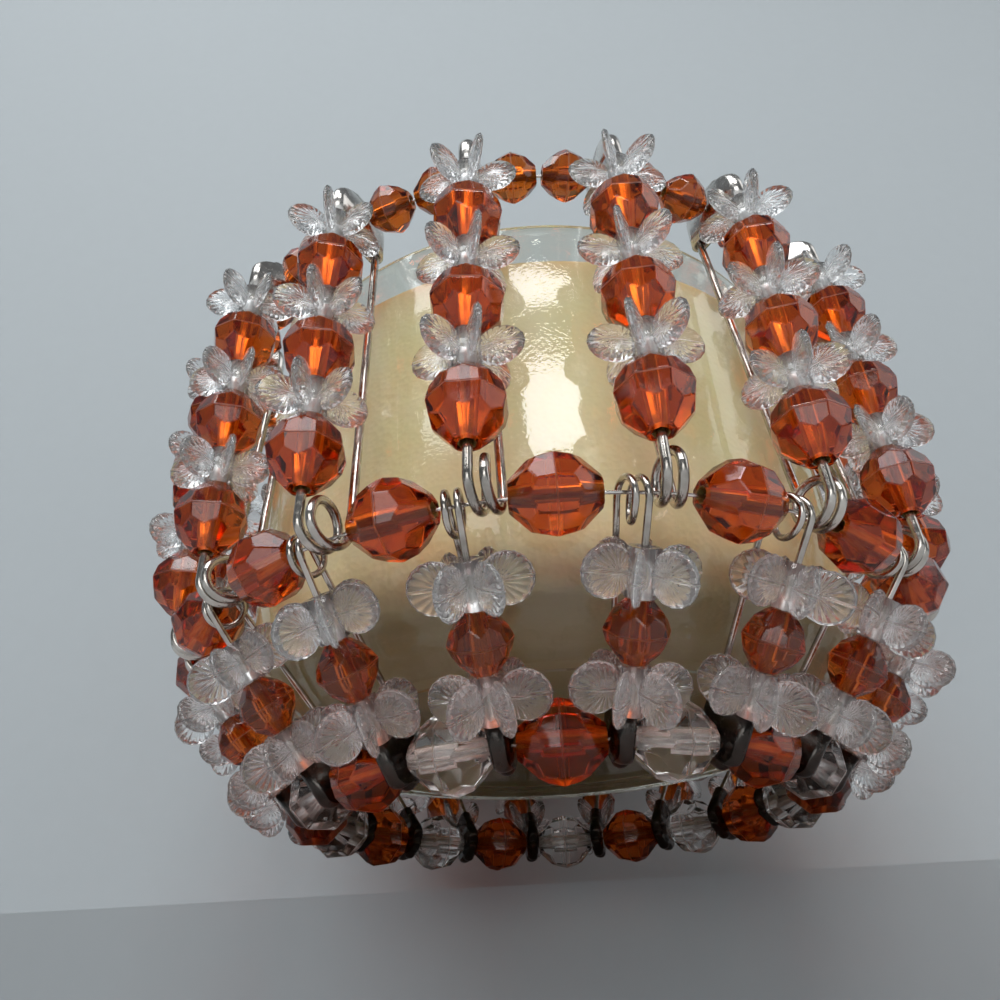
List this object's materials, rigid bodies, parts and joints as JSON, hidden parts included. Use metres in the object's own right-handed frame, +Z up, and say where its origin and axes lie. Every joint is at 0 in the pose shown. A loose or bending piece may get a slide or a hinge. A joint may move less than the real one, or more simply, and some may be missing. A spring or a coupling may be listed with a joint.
{
  "type": "candle ring",
  "caption": "Basket-shaped candle ring of beaded safety pins on three wire hoops, standing round a low, wide glass candle jar.",
  "frame": {"origin": "middle of the flat surface that the ring stands on, on the axis of the ring", "axes": "+Z up along the axis of the ring, -Y towards the two columns whose beads have joints, +X to their right"},
  "size_m": [0.1046, 0.104, 0.0684],
  "materials": {
    "amber_acrylic": "faceted, translucent, polished",
    "clear_acrylic": "clear, polished",
    "pin_wire": "nickel-plated, bright",
    "clasp_steel": "nickel-plated, bright, pressed",
    "ring_wire": "bright drawn wire",
    "jar_glass": "clear, moulded",
    "wax": "poured, satin",
    "tab_steel": "thin tinplate",
    "wick_cotton": "braided, waxed"
  },
  "bodies": {
    "ring": {"base_ring_wire": "ring_wire", "middle_ring_wire": "ring_wire", "top_ring_wire": "ring_wire", "lower_pin_wires": "pin_wire", "lower_pin_clasps": "clasp_steel", "upper_pin_wires": "pin_wire", "upper_pin_clasps": "clasp_steel", "top_ambers": "amber_acrylic", "lower_paddles_1": "clear_acrylic", "lower_ambers_1": "amber_acrylic", "lower_paddles_2": "clear_acrylic", "upper_ambers_1": "amber_acrylic", "upper_paddles_1": "clear_acrylic", "upper_ambers_2": "amber_acrylic", "upper_paddles_2": "clear_acrylic", "upper_ambers_3": "amber_acrylic", "upper_paddles_3": "clear_acrylic", "base_clears": "clear_acrylic", "middle_ambers": "amber_acrylic", "base_ambers": "amber_acrylic"},
    "candle": {"glass_jar": "jar_glass", "wax_fill": "wax", "wick_tab": "tab_steel", "wick": "wick_cotton"},
    "right_lower_paddle_1": {"right_lower_paddle_1": "clear_acrylic"},
    "right_lower_amber_1": {"right_lower_amber_1": "amber_acrylic"},
    "right_lower_paddle_2": {"right_lower_paddle_2": "clear_acrylic"},
    "right_upper_amber_1": {"right_upper_amber_1": "amber_acrylic"},
    "right_upper_paddle_1": {"right_upper_paddle_1": "clear_acrylic"},
    "right_upper_amber_2": {"right_upper_amber_2": "amber_acrylic"},
    "right_upper_paddle_2": {"right_upper_paddle_2": "clear_acrylic"},
    "right_upper_amber_3": {"right_upper_amber_3": "amber_acrylic"},
    "right_upper_paddle_3": {"right_upper_paddle_3": "clear_acrylic"},
    "middle_amber_center": {"middle_amber_center": "amber_acrylic"},
    "front_base_amber": {"front_base_amber": "amber_acrylic"},
    "middle_amber_right": {"middle_amber_right": "amber_acrylic"},
    "left_lower_paddle_1": {"left_lower_paddle_1": "clear_acrylic"},
    "left_lower_amber_1": {"left_lower_amber_1": "amber_acrylic"},
    "left_lower_paddle_2": {"left_lower_paddle_2": "clear_acrylic"},
    "left_upper_amber_1": {"left_upper_amber_1": "amber_acrylic"},
    "left_upper_paddle_1": {"left_upper_paddle_1": "clear_acrylic"},
    "left_upper_amber_2": {"left_upper_amber_2": "amber_acrylic"},
    "left_upper_paddle_2": {"left_upper_paddle_2": "clear_acrylic"},
    "left_upper_amber_3": {"left_upper_amber_3": "amber_acrylic"},
    "left_upper_paddle_3": {"left_upper_paddle_3": "clear_acrylic"},
    "middle_amber_left": {"middle_amber_left": "amber_acrylic"},
    "front_base_clear": {"front_base_clear": "clear_acrylic"},
    "front_top_amber_left": {"front_top_amber_left": "amber_acrylic"},
    "front_top_amber_right": {"front_top_amber_right": "amber_acrylic"}
  },
  "joints": [
    {"name": "candle_lift", "type": "slide", "parent": "ring", "child": "candle", "axis": [0, 0, 1], "range_m": [0, 0.06]},
    {"name": "right_lower_paddle_1_spin", "type": "hinge", "parent": "ring", "child": "right_lower_paddle_1", "pos_m": [0.00565, -0.04087, 0.01398], "axis": [-0.1213, 0.6382, -0.7603], "range_deg": [-5, 5]},
    {"name": "right_lower_amber_1_spin", "type": "hinge", "parent": "ring", "child": "right_lower_amber_1", "pos_m": [0.00503, -0.03765, 0.01014], "axis": [-0.1213, 0.6382, -0.7603], "continuous": true},
    {"name": "right_lower_paddle_2_spin", "type": "hinge", "parent": "ring", "child": "right_lower_paddle_2", "pos_m": [0.00442, -0.03442, 0.0063], "axis": [-0.1213, 0.6382, -0.7603], "range_deg": [-6, 6]},
    {"name": "right_upper_amber_1_spin", "type": "hinge", "parent": "ring", "child": "right_upper_amber_1", "pos_m": [0.0081, -0.04637, 0.02809], "axis": [0.0263, -0.0034, 0.9996], "continuous": true},
    {"name": "right_upper_paddle_1_spin", "type": "hinge", "parent": "ring", "child": "right_upper_paddle_1", "pos_m": [0.00826, -0.0464, 0.03434], "axis": [0.0263, -0.0034, 0.9996], "range_deg": [-30, 12]},
    {"name": "right_upper_amber_2_spin", "type": "hinge", "parent": "ring", "child": "right_upper_amber_2", "pos_m": [0.00843, -0.04642, 0.04058], "axis": [0.0263, -0.0034, 0.9996], "continuous": true},
    {"name": "right_upper_paddle_2_spin", "type": "hinge", "parent": "ring", "child": "right_upper_paddle_2", "pos_m": [0.00859, -0.04644, 0.04683], "axis": [0.0263, -0.0034, 0.9996], "continuous": true},
    {"name": "right_upper_amber_3_spin", "type": "hinge", "parent": "ring", "child": "right_upper_amber_3", "pos_m": [0.00875, -0.04646, 0.05308], "axis": [0.0263, -0.0034, 0.9996], "continuous": true},
    {"name": "right_upper_paddle_3_spin", "type": "hinge", "parent": "ring", "child": "right_upper_paddle_3", "pos_m": [0.00892, -0.04648, 0.05933], "axis": [0.0263, -0.0034, 0.9996], "continuous": true},
    {"name": "middle_amber_center_spin", "type": "hinge", "parent": "ring", "child": "middle_amber_center", "pos_m": [-0.00121, -0.04396, 0.02004], "axis": [0.9996, -0.0274, 0], "continuous": true},
    {"name": "front_base_amber_spin", "type": "hinge", "parent": "ring", "child": "front_base_amber", "pos_m": [-0.00153, -0.02927, 0.00351], "axis": [0.9986, -0.0522, 0], "continuous": true},
    {"name": "middle_amber_right_spin", "type": "hinge", "parent": "ring", "child": "middle_amber_right", "pos_m": [0.01504, -0.04132, 0.02004], "axis": [0.9397, 0.342, 0], "continuous": true},
    {"name": "left_lower_paddle_1_spin", "type": "hinge", "parent": "ring", "child": "left_lower_paddle_1", "pos_m": [-0.00867, -0.04033, 0.01398], "axis": [0.1043, 0.6412, -0.7603], "range_deg": [-5, 5]},
    {"name": "left_lower_amber_1_spin", "type": "hinge", "parent": "ring", "child": "left_lower_amber_1", "pos_m": [-0.00815, -0.0371, 0.01014], "axis": [0.1043, 0.6412, -0.7603], "continuous": true},
    {"name": "left_lower_paddle_2_spin", "type": "hinge", "parent": "ring", "child": "left_lower_paddle_2", "pos_m": [-0.00762, -0.03386, 0.0063], "axis": [0.1043, 0.6412, -0.7603], "range_deg": [-6, 6]},
    {"name": "left_upper_amber_1_spin", "type": "hinge", "parent": "ring", "child": "left_upper_amber_1", "pos_m": [-0.00825, -0.04635, 0.02809], "axis": [0.0235, -0.0122, 0.9996], "continuous": true},
    {"name": "left_upper_paddle_1_spin", "type": "hinge", "parent": "ring", "child": "left_upper_paddle_1", "pos_m": [-0.0081, -0.04642, 0.03434], "axis": [0.0235, -0.0122, 0.9996], "range_deg": [-30, 12]},
    {"name": "left_upper_amber_2_spin", "type": "hinge", "parent": "ring", "child": "left_upper_amber_2", "pos_m": [-0.00796, -0.0465, 0.04058], "axis": [0.0235, -0.0122, 0.9996], "continuous": true},
    {"name": "left_upper_paddle_2_spin", "type": "hinge", "parent": "ring", "child": "left_upper_paddle_2", "pos_m": [-0.00781, -0.04658, 0.04683], "axis": [0.0235, -0.0122, 0.9996], "continuous": true},
    {"name": "left_upper_amber_3_spin", "type": "hinge", "parent": "ring", "child": "left_upper_amber_3", "pos_m": [-0.00766, -0.04665, 0.05308], "axis": [0.0235, -0.0122, 0.9996], "continuous": true},
    {"name": "left_upper_paddle_3_spin", "type": "hinge", "parent": "ring", "child": "left_upper_paddle_3", "pos_m": [-0.00752, -0.04673, 0.05933], "axis": [0.0235, -0.0122, 0.9996], "continuous": true},
    {"name": "middle_amber_left_spin", "type": "hinge", "parent": "ring", "child": "middle_amber_left", "pos_m": [-0.01523, -0.04125, 0.02004], "axis": [0.9381, -0.3464, 0], "continuous": true},
    {"name": "front_base_clear_spin", "type": "hinge", "parent": "ring", "child": "front_base_clear", "pos_m": [-0.01145, -0.02698, 0.00351], "axis": [0.9205, -0.3906, 0], "continuous": true},
    {"name": "front_top_amber_left_spin", "type": "hinge", "parent": "ring", "child": "front_top_amber_left", "pos_m": [-0.00236, -0.04314, 0.06484], "axis": [0.9985, -0.0546, 0], "continuous": true},
    {"name": "front_top_amber_right_spin", "type": "hinge", "parent": "ring", "child": "front_top_amber_right", "pos_m": [0.00386, -0.04303, 0.06484], "axis": [0.996, 0.0894, 0], "continuous": true}
  ]
}
